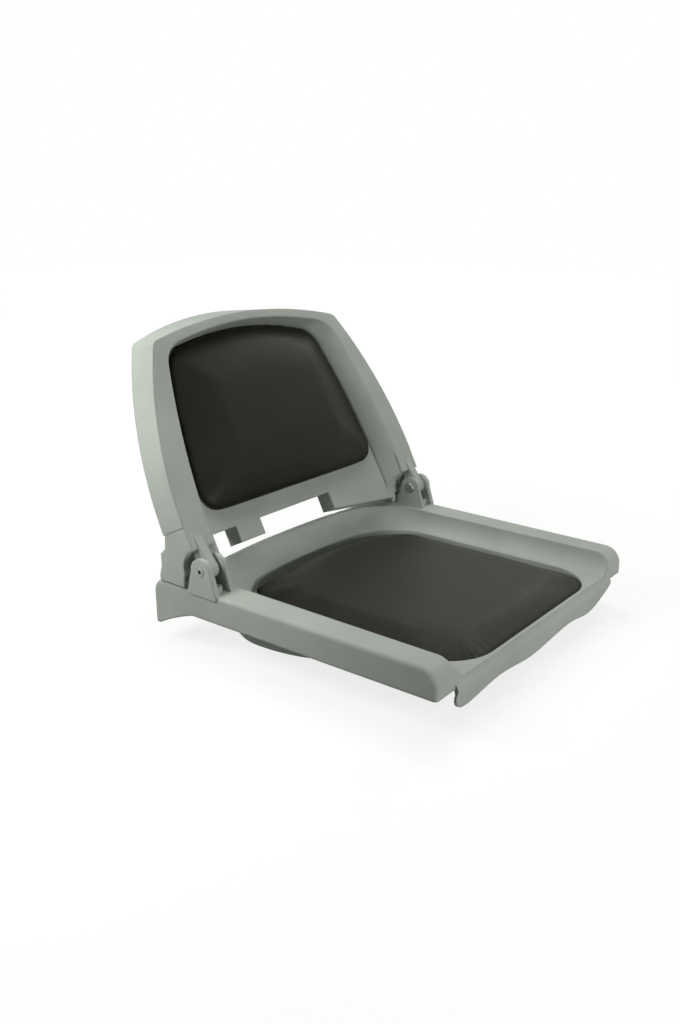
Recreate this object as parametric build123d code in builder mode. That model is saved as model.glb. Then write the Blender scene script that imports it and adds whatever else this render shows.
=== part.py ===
import os
from math import atan2, cos, degrees, radians, sin

from build123d import *

os.makedirs("parts", exist_ok=True)

# Overall sizes, in mm, from the centre of the mounting pattern on the underside
arm_top = 92.0            # mounting face to the top of the arms
seat_front = 235.0        # mount centre to the front of the arms
heel_rear = 223.0         # mount centre to the back of the heels
front_half = 250.0        # half the width over the arms at the front
rear_half = 258.0         # half the width over the arms at the heels
ear_half = 257.5          # half the width over the outer hinge ears
wall = 4.0                # moulded wall
overrun = 20.0            # how far a cut runs past what it cuts

# Arms, heels and rear deck
arm_depth = 38.0          # height of the arm's outer wall
arm_nose = 24.0           # rounding of the arm's front end
heel_half_in = 222.0      # inner side of a heel
heel_drop = 65.0          # arm top to the bottom of a heel
heel_round = 20.0         # rounding of the heel's top rear edge
heel_toe = 5.0            # rounding of the heel's bottom rear edge
heel_flat = 10.0          # flat length of the heel's bottom
heel_rise_mid = 46.0      # from the heel's back to the middle of its rising underside
heel_rise_mid_drop = 48.0
heel_rise_end = 74.0      # from the heel's back to where the underside meets the arm's lower edge
heel_corner = 5.0         # rounding of the heel's posts and of the arms' outer top edges
rear_mid = 211.0          # mount centre to the rear wall at the middle
rear_bow = 22.0           # how far the rear wall comes forward at the heels
rear_drop = 40.0          # height of the rear wall between the heels
crest_round = 5.0         # rounding of the rear wall's top edge

# Well that holds the cushion
pocket_half = 186.0       # half width of the cushion pocket
pocket_front = 229.0      # mount centre to the pocket's front wall
pocket_rear = 163.0       # mount centre to the pocket's rear wall at the middle
pocket_bow = 18.0         # how far the pocket's rear wall comes forward at its ends
pocket_rear_round = 88.0
pocket_front_round = 70.0
pocket_floor = 46.0       # mounting face to the pocket floor
pocket_depth = 18.0       # pocket floor to the shelf round the cushion
pocket_lap_share = 0.25   # how far the pocket's skin runs up into the cove, over its thickness
mouth_half = 212.0        # half the opening between the arm tops
mouth_rear = 199.0        # mount centre to the rear edge of the opening
cove_height_shares = (0.0, 0.22, 0.55, 1.0)      # heights up the cove, shelf to arm top
cove_width_shares = (0.06, 0.58, 0.86, 1.0)      # how far out the cove has come there

# Front lip
lip_reach = 4.0           # how far the lip stands ahead of the arms
lip_fall = 14.0           # drop of the rounding at the lip's top
lip_tuck = 15.0           # how far the lip's lower edge leans back
lip_half = 210.0          # half width of the lip
lip_nose_drop = 80.0      # arm top to the lip's lower edge at the centre nose
lip_scallop_drop = 70.0   # at the scallops beside the nose
lip_lobe_drop = 78.0      # at the corner lobes
lip_end_drop = 48.0       # at the lip's ends
lip_bulge_share = 0.34    # how low and how far forward the lip's rounding passes
lip_turn_share = 0.34
lip_scallop_x = 112.0
lip_lobe_x = 176.0

# Pan skirt, ribs and mounting bosses
skirt_half = 203.0
skirt_front = 232.0
skirt_rear = 178.0
skirt_low = 11.0          # lowest point of the skirt above the mounting face
skirt_low_y = 110.0
skirt_rear_low = 20.0
skirt_mid_y = -35.0
skirt_mid_low = 26.0
skirt_front_low = 36.0
rib = 3.0
rib_drop = 20.0           # depth of the pan ribs under the floor
rib_x = 132.0             # outer long ribs
rib_rows = (-150.0, 120.0)        # cross ribs, from the mount centre
arm_ribs = 5
mount_pitch = 127.0       # square mounting pattern
boss_r = 16.0
insert_bore_r = 3.2
insert_r = 5.5
insert_length = 16.0
insert_flange_r = 8.0
insert_flange = 1.5

# Hinge
pin_y = 129.0             # pin axis behind the mount centre
pin_up = 30.0             # pin axis above the arm top
pin_r = 5.0
pin_hole_r = 2.6
ear_r = 17.5
ear_outer = 8.0           # thickness of the outer ear
ear_inner = 5.5           # thickness of the inner ear
ear_inner_half = 224.0    # inner face of the inner ear
ear_front_foot = 27.0     # pin axis to the ear's front foot
ear_rear_foot = 25.0
ear_waist_share = 0.985   # width of the ear's straight sides where they meet its round top
ear_root = 6.0            # how far the ears run down into the arm
pin_head_r = 9.0
pin_head = 3.5
pin_rim_r = 6.6
pin_rim = 1.4
bush_r = 7.0
run_gap = 0.05            # radial running gap between pin and bush
side_gap = 0.5            # gap between the lug and the outer ear
lug_room = 5.0            # gap between the lug and the inner ear
stop_boss_r = 6.0
stop_boss_rise = 9.0
stop_boss_y = 14.0        # stop boss ahead of the pin axis

# Backrest, in its own directions: v up the back, w rearwards from the pin axis
back_lean = 27.0          # degrees the back leans from upright
rim_face = 3.0            # rim's front face ahead of the pin axis
side_depth = 39.0         # rear edge of the side walls behind the pin axis
mid_depth = 57.0          # rear edge of the top wall at the middle
back_deep = 62.0          # where the outline's loft ends
back_side_half = 259.3    # half width at the bottom of the side curve
back_side_low = 20.0
back_side_mid_half = 249.0
back_side_mid = 159.0     # v at which the half widths at mid height are given
back_top_half = 193.0     # half width at the top corners
back_top_corner = 312.0
back_top = 337.0
back_top_flare = 26.0     # how much higher the top wall stands at its deepest
flare_in_share = 0.35     # how the top corners move in and up with it
flare_up_share = 0.75
back_corner_round = 16.0
dish_half = 223.0         # opening between the rim faces at the bottom
dish_mid_half = 211.0
dish_corner_half = 178.0
dish_corner = 300.0
dish_top = 325.0
dish_in_half = 200.0      # the same opening where it meets the panel
dish_in_mid_half = 189.0
dish_in_corner_half = 158.0
dish_in_corner = 303.0
dish_in_top = 324.0
dish_round = 44.0
dish_slope_depth = 27.0   # depth over which the inner walls slope in
floor_mid = 48.0          # panel's front surface behind the pin axis, at the middle
floor_side = 21.0         # and at its sides
floor_side_half = 224.0
floor_fit = 4.0           # step over which the panel's slope is taken
apron_top = 62.0
apron_flange = 26.0       # depth of the flange round the lower edge
apron_half = 217.0
apron_side_low = -6.0     # v of the lower edge beside one hinge
apron_left_low = 2.0      # and beside the other
apron_tab_low = 16.0      # v of the tab's lower edge
apron_right_low = 13.0    # v of the lower edge on the other side of the notch
notch_top = 41.0          # v of the top of the notch and of the bay
notch_half = 80.0
tab_width = 56.0
bay_out = 190.0           # outer end of the bay beside the tab
hip_gap_r = 29.0          # clear radius round the pin where the ears stand
ear_room_half = 192.0     # inner end of that clear space
hip_back_y = 64.0         # rear of the hip behind the pin axis
hip_back_rise = 20.0      # height of that corner above the pin axis
foot_front = 30.0         # foot, front to back, behind the pin axis
foot_rear = 77.0
foot = 8.5                # thickness of the foot
foot_half_in = 228.0
foot_gap = 0.3            # gap between foot and deck
fin = 5.0                 # thickness of the fin behind the hip
fin_half_in = 245.0
fin_back_y = 84.0
fin_rise = 12.0           # top of the fin above the pin axis
fin_round = 8.0
foot_toe = 1.0
lug_r = 12.0
lug_chin_share = 0.96     # width of the lug's sides where they meet its round end
lug_reach = 46.0
back_rib_rows = (110.0, 175.0, 240.0)
back_rib_x = 90.0
back_boss_r = 11.0        # screw bosses behind the panel
back_boss_rise = 2.5

# Pads
skin = 1.2                # vinyl cover
board = 6.0               # seat cushion board
back_board = 5.0
pad_gap = 1.0             # gap between pad and pocket wall
hem = 24.0                # width of the turned hem
seat_pad_height = 34.0    # pocket floor to the crown
seat_pad_rise_shares = (0.0, 0.20, 0.42, 0.58, 0.74, 0.88, 0.96, 1.0)
seat_pad_insets = (6.0, 1.5, 0.0, 5.0, 14.0, 32.0, 55.0, 76.0)
pad_board_inset = 13.0    # board's edge in from the pad's widest outline
back_pad_low = 71.0
back_pad_gap = 1.5
back_pad_low_round = 30.0
back_pad_crown = 6.0      # crown of the pad behind the pin axis
back_pad_edge = 27.0      # where the drawn-in edge begins
back_pad_rise_shares = (0.0, 0.33, 0.62, 0.82, 0.95, 1.0)
back_pad_insets = (0.0, 2.0, 7.0, 18.0, 42.0, 70.0)

# Fasteners
screw_r = 3.0
screw_hole_r = 3.3
screw_head_r = 6.0
screw_head = 3.4
screw_head_round = 1.4
screw_slot = 1.3
screw_tip = 3.0           # how far the screw stands past the tee nut's flange
washer_r = 9.0
washer = 1.2
nut_flange_r = 9.5
nut_flange = 1.2
nut_barrel_r = 4.2
nut_barrel = 3.0
seat_screw_x = 110.0
seat_screw_front = 175.0
seat_screw_rear = 85.0
pad_boss_r = 13.0
back_screw_x = 110.0
back_screw_low = 140.0
back_screw_high = 258.0
staple_crown = 11.0
staple_wire = 1.2
staple_flat = 0.6
staple_leg = 5.0
staple_inset = 17.0       # staples in from the pad's bottom edge
staple_sink = 0.35        # how deep the crowns press into the hem
staple_side_count = 5
staple_side_pitch = 40.0
staple_end_count = 5
staple_end_pitch = 50.0
back_mid_v = 185.0        # middle of the back pad's side rows of staples
back_bar_low_half = 174.0 # staple rows' half width, bottom to top
back_bar_fall_share = 0.15    # how much nearer the middle they are per mm up
staple_rise = 213.0
bow_run = 1400.0          # the top row's bow
head_round_share = 0.75

# Places worked out from those sizes
pin_z = arm_top + pin_up
shelf = pocket_floor + pocket_depth
arm_low = arm_top - arm_depth
heel_low = arm_top - heel_drop
lug_in = ear_inner_half + ear_inner + lug_room
lug_out = ear_half - ear_outer - side_gap
lean = radians(back_lean)
across = (1, 0, 0)
up_back = (0, sin(lean), cos(lean))
rearward = (0, cos(lean), -sin(lean))
pin_centre = (0, pin_y, pin_z)
deck = -pin_up + foot_gap         # foot's underside, from the pin axis
front_plane = Plane(origin=pin_centre, x_dir=across, z_dir=(0, -cos(lean), sin(lean)))
pin_plane = Plane(origin=pin_centre, x_dir=(0, 1, 0), z_dir=across)
side_plane = Plane(origin=pin_centre, x_dir=rearward, z_dir=across)
plan_plane = Plane(origin=pin_centre, x_dir=across, z_dir=up_back)


def write(item, name):
    """Label a finished sub-part and write its file."""
    item.part.label = name
    export_step(item.part, "parts/" + name + ".step")


def both_sides(shape):
    """Add a shape built on the +X side, and its mirror image, to the open part."""
    add(shape)
    add(shape.mirror(Plane.YZ))


# Outlines of the seat shell

def pan_outline(level, half, front, rear, bow, rear_round, front_round):
    """Plan outline with a bowed rear side, at a height."""
    with BuildSketch(Plane.XY.offset(level)) as outline:
        with BuildLine():
            Line((-half, rear - bow), (-half, -front))
            Line((-half, -front), (half, -front))
            Line((half, -front), (half, rear - bow))
            ThreePointArc((half, rear - bow), (0, rear), (-half, rear - bow))
        make_face()
        ends = outline.vertices().sort_by(Axis.Y)
        fillet(ends[2:], rear_round)
        fillet(outline.vertices().sort_by(Axis.Y)[:2], front_round)
    return outline.sketch


def ring_outline(level, inset):
    """Plan outline of the arms, rear wall and heels, drawn in by inset."""
    front = -seat_front + inset
    back = heel_rear - inset
    nook = heel_half_in + inset
    bow_end = rear_mid - rear_bow - inset
    with BuildSketch(Plane.XY.offset(level)) as outline:
        with BuildLine():
            Line((-rear_half + inset, back), (-front_half + inset, front))
            Line((-front_half + inset, front), (front_half - inset, front))
            Line((front_half - inset, front), (rear_half - inset, back))
            Line((rear_half - inset, back), (nook, back))
            Line((nook, back), (nook, bow_end))
            ThreePointArc((nook, bow_end), (0, rear_mid - inset), (-nook, bow_end))
            Line((-nook, bow_end), (-nook, back))
            Line((-nook, back), (-rear_half + inset, back))
        make_face()
    return outline.sketch


def side_block(inset, low):
    """Side view of the arms with their rounded ends, over the whole width, down to low."""
    front = -seat_front + inset
    back = heel_rear - inset
    top = arm_top - inset
    nose = arm_nose - inset
    tail = heel_round - inset
    eighth = sin(radians(45))
    with BuildPart() as block:
        with BuildSketch(Plane.YZ):
            with BuildLine():
                Line((front, low), (front, top - nose))
                ThreePointArc(
                    (front, top - nose),
                    (front + nose * (1 - eighth), top - nose * (1 - eighth)),
                    (front + nose, top),
                )
                Line((front + nose, top), (back - tail, top))
                ThreePointArc(
                    (back - tail, top),
                    (back - tail * (1 - eighth), top - tail * (1 - eighth)),
                    (back, top - tail),
                )
                Line((back, top - tail), (back, low))
                Line((back, low), (front, low))
            make_face()
        extrude(amount=rear_half + overrun, both=True)
    return block.part


def below_arms():
    """What lies under the arms' lower edge and the heels' rising underside."""
    ahead = -seat_front - overrun
    behind = heel_rear + overrun
    with BuildPart() as space:
        with BuildSketch(Plane.YZ):
            with BuildLine():
                Line((ahead, arm_low), (heel_rear - heel_rise_end, arm_low))
                ThreePointArc(
                    (heel_rear - heel_rise_end, arm_low),
                    (heel_rear - heel_rise_mid, arm_top - heel_rise_mid_drop),
                    (heel_rear - heel_flat, heel_low),
                )
                Line((heel_rear - heel_flat, heel_low), (heel_rear - heel_toe, heel_low))
                Line((heel_rear - heel_toe, heel_low), (behind, heel_low + heel_toe + overrun))
                Line((behind, heel_low + heel_toe + overrun), (behind, -overrun))
                Line((behind, -overrun), (ahead, -overrun))
                Line((ahead, -overrun), (ahead, arm_low))
            make_face()
        extrude(amount=rear_half + overrun, both=True)
    return space.part


def skirt_profile():
    """Side view of the pan skirt with its bowed lower edge, over the whole width."""
    with BuildPart() as profile:
        with BuildSketch(Plane.YZ):
            with BuildLine():
                Line((skirt_rear, arm_top), (-skirt_front, arm_top))
                Line((-skirt_front, arm_top), (-skirt_front, skirt_front_low))
                Line((-skirt_front, skirt_front_low), (skirt_mid_y, skirt_mid_low))
                ThreePointArc(
                    (skirt_mid_y, skirt_mid_low),
                    (skirt_low_y, skirt_low),
                    (skirt_rear, skirt_rear_low),
                )
                Line((skirt_rear, skirt_rear_low), (skirt_rear, arm_top))
            make_face()
        extrude(amount=skirt_half, both=True)
    return profile.part


def well(grow):
    """The space inside the seat shell: pocket, shelf and cove, grown outwards and down by grow."""
    reach = seat_front + overrun
    levels = [shelf + (arm_top - shelf) * share for share in cove_height_shares]
    levels[-1] += crest_round
    with BuildPart() as space:
        for level, share in zip(levels, cove_width_shares):
            half = pocket_half + (mouth_half - pocket_half) * share
            rear = pocket_rear + (mouth_rear - pocket_rear) * share
            bow = pocket_bow + (rear_bow - pocket_bow) * share
            corner = pocket_rear_round
            add(pan_outline(level - grow, half + grow, reach, rear + grow, bow, corner, crest_round))
        loft()
        add(
            pan_outline(
                pocket_floor - grow,
                pocket_half + grow,
                pocket_front + grow,
                pocket_rear + grow,
                pocket_bow,
                pocket_rear_round + grow,
                pocket_front_round + grow,
            )
        )
        extrude(amount=pocket_depth + grow * pocket_lap_share)
    return space.part


def skirt_outline(inset):
    """Plan of the skirt round the pocket, drawn in by inset."""
    half = skirt_half - inset
    rear_round = pocket_rear_round - inset
    front_round = pocket_front_round - inset
    front = skirt_front - inset
    rear = skirt_rear - inset
    return pan_outline(0, half, front, rear, pocket_bow, rear_round, front_round)


def lip_plate():
    """The front lip: a rounded top, a face that leans back, and a wavy lower edge."""
    top_y = -pocket_front
    face_y = -seat_front - lip_reach
    low = arm_top - lip_nose_drop - wall
    with BuildPart() as plate:
        with BuildSketch(Plane.YZ):
            with BuildLine():
                Line((top_y, shelf), (top_y, shelf - wall))
                ThreePointArc(
                    (top_y, shelf - wall),
                    ((top_y + face_y + wall) / 2, shelf - wall - lip_fall * lip_bulge_share),
                    (face_y + wall, shelf - wall - lip_fall),
                )
                Line((face_y + wall, shelf - wall - lip_fall), (face_y + wall + lip_tuck, low))
                Line((face_y + wall + lip_tuck, low), (face_y + lip_tuck, low))
                Line((face_y + lip_tuck, low), (face_y, shelf - lip_fall))
                ThreePointArc(
                    (face_y, shelf - lip_fall),
                    (face_y + (top_y - face_y) * lip_turn_share, shelf - lip_fall * lip_bulge_share),
                    (top_y, shelf),
                )
            make_face()
        extrude(amount=lip_half, both=True)
        with BuildSketch(Plane.XZ.offset(seat_front - lip_half)):
            with BuildLine():
                Spline(
                    (-lip_half, arm_top - lip_end_drop),
                    (-lip_lobe_x, arm_top - lip_lobe_drop),
                    (-lip_scallop_x, arm_top - lip_scallop_drop),
                    (0, arm_top - lip_nose_drop),
                    (lip_scallop_x, arm_top - lip_scallop_drop),
                    (lip_lobe_x, arm_top - lip_lobe_drop),
                    (lip_half, arm_top - lip_end_drop),
                )
                Line((lip_half, arm_top - lip_end_drop), (lip_half, arm_top))
                Line((lip_half, arm_top), (-lip_half, arm_top))
                Line((-lip_half, arm_top), (-lip_half, arm_top - lip_end_drop))
            make_face()
        extrude(amount=lip_half + overrun, mode=Mode.INTERSECT)
    return plate.part


def ear_profile():
    """Side view of a hinge ear: round top on a spreading foot."""
    root = arm_top - ear_root
    with BuildSketch(Plane.YZ) as side:
        with Locations((pin_y, pin_z)):
            Circle(ear_r)
        with BuildLine():
            Polyline(
                (pin_y - ear_r * ear_waist_share, pin_z),
                (pin_y - ear_front_foot, arm_top),
                (pin_y - ear_front_foot, root),
                (pin_y + ear_rear_foot, root),
                (pin_y + ear_rear_foot, arm_top),
                (pin_y + ear_r * ear_waist_share, pin_z),
                close=True,
            )
        make_face()
        with Locations((pin_y, pin_z)):
            Circle(pin_r, mode=Mode.SUBTRACT)
    return side.sketch


# Seat shell
lip = lip_plate()
well_space = well(0)
well_skin = well(wall)

with BuildPart() as pan_block:
    add(skirt_outline(0))
    extrude(amount=arm_top)
    add(skirt_profile(), mode=Mode.INTERSECT)

with BuildPart() as skirt_ring:
    add(skirt_outline(0))
    extrude(amount=arm_top)
    add(skirt_outline(wall))
    extrude(amount=arm_top, mode=Mode.SUBTRACT)

with BuildPart() as seat_cavity:
    add(ring_outline(-overrun, wall))
    extrude(amount=arm_top + overrun - wall)
    add(side_block(wall, -overrun), mode=Mode.INTERSECT)
    add(well_skin, mode=Mode.SUBTRACT)
    add(skirt_ring.part, mode=Mode.SUBTRACT)
    add(lip, mode=Mode.SUBTRACT)

with BuildPart() as seat_ribs:
    rib_low = pocket_floor - wall - rib_drop
    with Locations((0, 0, rib_low)):
        for x in (-rib_x, rib_x):
            with Locations((x, 0, 0)):
                Box(rib, 2 * seat_front, rib_drop + wall, align=(Align.CENTER, Align.CENTER, Align.MIN))
        for y in rib_rows:
            with Locations((0, y, 0)):
                Box(2 * skirt_half, rib, rib_drop + wall, align=(Align.CENTER, Align.CENTER, Align.MIN))
    arm_rib_pitch = (seat_front + pin_y - ear_front_foot) / (arm_ribs + 1)
    for side in (-1, 1):
        for i in range(arm_ribs):
            row = -seat_front + arm_rib_pitch * (i + 1)
            reach = rear_half - skirt_half + wall
            with Locations((side * (skirt_half + rear_half) / 2, row, arm_low + wall)):
                Box(reach, rib, arm_depth, align=(Align.CENTER, Align.CENTER, Align.MIN))
    add(seat_cavity.part, mode=Mode.INTERSECT)

with BuildPart() as seat_shell:
    add(ring_outline(heel_low - wall, 0))
    extrude(amount=arm_top - heel_low + wall)
    add(side_block(0, heel_low - wall), mode=Mode.INTERSECT)
    add(below_arms(), mode=Mode.SUBTRACT)
    heel_posts = seat_shell.edges().filter_by(Axis.Z).group_by(Axis.Y)[-1]
    fillet(heel_posts, heel_corner)
    arcs = seat_shell.edges().filter_by(GeomType.CIRCLE)
    crest = arcs.filter_by_position(Axis.Z, arm_top - run_gap, arm_top + run_gap)
    fillet(crest.sort_by(Axis.Y)[-1], crest_round)
    with BuildSketch(Plane.XY.offset(-overrun)):
        Rectangle(2 * heel_half_in, 2 * (seat_front + heel_rear))
    extrude(amount=arm_top - rear_drop + overrun, mode=Mode.SUBTRACT)
    add(pan_block.part)
    add(well_space, mode=Mode.SUBTRACT)
    add(lip)
    add(seat_cavity.part, mode=Mode.SUBTRACT)
    add(well_space, mode=Mode.SUBTRACT)
    add(seat_ribs.part)
    # Mounting bosses and the box of ribs that joins them
    with BuildSketch(Plane.XY):
        with GridLocations(mount_pitch, mount_pitch, 2, 2):
            Circle(boss_r)
        with GridLocations(mount_pitch, 0, 2, 1):
            Rectangle(wall, mount_pitch)
        with GridLocations(0, mount_pitch, 1, 2):
            Rectangle(mount_pitch, wall)
    extrude(amount=pocket_floor - wall / 2)
    with GridLocations(mount_pitch, mount_pitch, 2, 2):
        Cylinder(insert_flange_r, 2 * insert_flange, mode=Mode.SUBTRACT)
        Cylinder(insert_r, 2 * insert_length, mode=Mode.SUBTRACT)
    # Pads on the pocket floor where the cushion screws pass
    for y in (-seat_screw_front, seat_screw_rear):
        for x in (-seat_screw_x, seat_screw_x):
            with Locations((x, y, pocket_floor - wall / 2)):
                Cylinder(pad_boss_r, skin + wall / 2, align=(Align.CENTER, Align.CENTER, Align.MIN))
            with Locations((x, y, pocket_floor)):
                Cylinder(screw_hole_r, 4 * wall, mode=Mode.SUBTRACT)
    # Hinge ears and the small stop boss between each pair
    for near, thick in ((ear_inner_half, ear_inner), (ear_half - ear_outer, ear_outer)):
        for side in (-1, 1):
            start = near if side > 0 else -near - thick
            ear = extrude(ear_profile(), amount=thick, dir=across, mode=Mode.PRIVATE)
            add(Pos(start, 0, 0) * ear)
    for side in (-1, 1):
        middle = side * (lug_in + lug_out) / 2
        with BuildSketch(Plane.XY.offset(arm_top - wall)):
            with Locations((middle, pin_y - stop_boss_y)):
                SlotOverall(lug_out - lug_in, 2 * stop_boss_r)
        extrude(amount=wall + stop_boss_rise)
write(seat_shell, "seat_shell")


# Outlines of the backrest, on planes across w

def turned(w, v):
    """Place beside the pin axis, rearwards and up, of a point given by w and v."""
    return (w * cos(lean) + v * sin(lean), v * cos(lean) - w * sin(lean))


def floor_at(x):
    """Depth w of the panel's front surface at x."""
    sag = floor_mid - floor_side
    bend = (floor_side_half * floor_side_half + sag * sag) / (2 * sag)
    return floor_mid - bend + (bend * bend - x * x) ** (1 / 2)


def floor_slope(x):
    """Angle of the panel across the back at x."""
    return degrees(atan2(floor_at(x) - floor_at(x + floor_fit), floor_fit))


def shield(half, mid_half, corner_half, corner_v, top, w, round_top, low=None, round_low=None):
    """Front outline with bowed sides and a bowed top at depth w, cut off below v = low."""
    base = -back_deep
    with BuildSketch(front_plane.offset(-w)) as outline:
        with BuildLine():
            Line((-half, base), (-half, back_side_low))
            ThreePointArc((-half, back_side_low), (-mid_half, back_side_mid), (-corner_half, corner_v))
            ThreePointArc((-corner_half, corner_v), (0, top), (corner_half, corner_v))
            ThreePointArc((corner_half, corner_v), (mid_half, back_side_mid), (half, back_side_low))
            Line((half, back_side_low), (half, base))
            Line((half, base), (-half, base))
        make_face()
        fillet(outline.vertices().group_by(Axis.Y)[-1], round_top)
        if low is not None:
            with Locations((0, low)):
                Rectangle(4 * half, 4 * half, align=(Align.CENTER, Align.MAX), mode=Mode.SUBTRACT)
        if round_low is not None:
            fillet(outline.vertices().group_by(Axis.Y)[0], round_low)
    return outline.sketch


def envelope(inset, low):
    """The backrest's outside, drawn in by inset, from v = low up."""
    first = -rim_face + inset
    with BuildPart() as solid:
        for w, rise in ((first, 0), (back_deep, back_top_flare)):
            add(
                shield(
                    back_side_half - inset,
                    back_side_mid_half - inset,
                    back_top_half - inset - rise * flare_in_share,
                    back_top_corner - inset + rise * flare_up_share,
                    back_top - inset + rise,
                    w,
                    back_corner_round,
                    low,
                )
            )
        loft()
    return solid.part


def before_floor(shift, low):
    """Everything ahead of the panel's curved front surface, moved rearwards by shift."""
    side = floor_side + shift
    reach = back_side_half + overrun
    with BuildPart() as space:
        with BuildSketch(plan_plane.offset(low)):
            with BuildLine():
                Line((-reach, -back_deep), (reach, -back_deep))
                Line((reach, -back_deep), (reach, side))
                Line((reach, side), (floor_side_half, side))
                ThreePointArc((floor_side_half, side), (0, floor_mid + shift), (-floor_side_half, side))
                Line((-floor_side_half, side), (-reach, side))
                Line((-reach, side), (-reach, -back_deep))
            make_face()
        extrude(amount=back_top + back_top_flare + overrun - low)
    return space.part


def before_rear(low):
    """Everything ahead of the side walls' and top wall's rear edges."""
    reach = back_side_half + overrun
    with BuildPart() as space:
        with BuildSketch(plan_plane.offset(low)):
            with BuildLine():
                Line((-reach, -back_deep), (reach, -back_deep))
                Line((reach, -back_deep), (reach, side_depth))
                ThreePointArc((reach, side_depth), (0, mid_depth), (-reach, side_depth))
                Line((-reach, side_depth), (-reach, -back_deep))
            make_face()
        extrude(amount=back_top + back_top_flare + overrun - low)
    return space.part


def dish(grow):
    """The hollow ahead of the panel, grown by grow, open at the bottom."""
    rim_plane = -rim_face - wall
    inner_plane = -rim_face + dish_slope_depth + grow
    rim = (
        dish_half + grow,
        dish_mid_half + grow,
        dish_corner_half + grow,
        dish_corner + grow,
        dish_top + grow,
    )
    inner = (
        dish_in_half + grow,
        dish_in_mid_half + grow,
        dish_in_corner_half + grow,
        dish_in_corner + grow,
        dish_in_top + grow,
    )
    with BuildPart() as space:
        add(shield(*rim, rim_plane, dish_round))
        add(shield(*inner, inner_plane, dish_round))
        loft()
        extrude(shield(*inner, inner_plane, dish_round), amount=back_deep, dir=rearward)
        add(before_floor(grow, -back_deep), mode=Mode.INTERSECT)
    return space.part


def apron_face(w, inset):
    """Front view of the lower part with its notch, tab and bay, drawn in by inset."""
    with BuildSketch(front_plane.offset(-w)) as face:
        with BuildLine():
            Polyline(
                (-apron_half + inset, apron_top - inset),
                (-apron_half + inset, apron_left_low + inset),
                (-bay_out - inset, apron_left_low + inset),
                (-bay_out - inset, notch_top + inset),
                (-notch_half - tab_width + inset, notch_top + inset),
                (-notch_half - tab_width + inset, apron_tab_low + inset),
                (-notch_half - inset, apron_tab_low + inset),
                (-notch_half - inset, notch_top + inset),
                (notch_half + inset, notch_top + inset),
                (notch_half + inset, apron_right_low + inset),
                (apron_half - inset, apron_side_low + inset),
                (apron_half - inset, apron_top - inset),
                close=True,
            )
        make_face()
    return face.sketch


def hip_profile(hollow):
    """Side view of a hip, or of the hollow inside it."""
    clear = hip_gap_r + (wall if hollow else 0)
    face = -rim_face + (wall if hollow else 0)
    rear = side_depth + (overrun if hollow else 0)
    back_y = hip_back_y + (overrun if hollow else 0)
    low = deck + (foot if hollow else 0)
    with BuildSketch(pin_plane) as side:
        with BuildLine():
            Polyline(
                turned(face, apron_top),
                turned(rear, apron_top),
                (back_y, hip_back_rise),
                (foot_rear + (overrun if hollow else 0), deck + foot),
                (foot_rear, low),
                (foot_front, low),
                (foot_front - foot_toe, deck + 2 * foot),
                turned(face, 0),
                close=True,
            )
        make_face()
        Circle(clear, mode=Mode.SUBTRACT)
    return side.sketch


def ear_room(grow):
    """The round space in which the hinge ears stand, grown by grow, on both sides."""
    with BuildPart() as space:
        for side in (-1, 1):
            start = ear_room_half - grow if side > 0 else -lug_in - grow
            with BuildSketch(side_plane.offset(start)):
                Circle(hip_gap_r + grow)
            extrude(amount=lug_in - ear_room_half + 2 * grow)
    return space.part


# Backrest shell
back_boss_end = floor_at(back_screw_x) + wall + back_boss_rise
dish_space = dish(0)
dish_skin = dish(wall)
rear_limit = before_rear(-back_deep)

with BuildPart() as back_cavity:
    add(envelope(wall, apron_top))
    add(dish_skin, mode=Mode.SUBTRACT)

with BuildPart() as apron_cavity:
    extrude(apron_face(-rim_face + wall, wall), amount=2 * back_deep, dir=rearward)
    add(dish_skin, mode=Mode.SUBTRACT)
    add(ear_room(wall), mode=Mode.SUBTRACT)

with BuildPart() as back_ribs:
    with BuildSketch(front_plane.offset(-back_deep)):
        for v in back_rib_rows:
            with Locations((0, v)):
                Rectangle(2 * back_side_half, rib)
        for x in (-back_rib_x, back_rib_x):
            with Locations((x, apron_top)):
                Rectangle(rib, back_top, align=(Align.CENTER, Align.MIN))
    extrude(amount=2 * back_deep)
    add(back_cavity.part, mode=Mode.INTERSECT)
    add(rear_limit, mode=Mode.INTERSECT)

with BuildPart() as apron_beam:
    extrude(apron_face(-rim_face, 0), amount=2 * back_deep, dir=rearward)
    add(before_floor(apron_flange, -back_deep), mode=Mode.INTERSECT)

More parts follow.
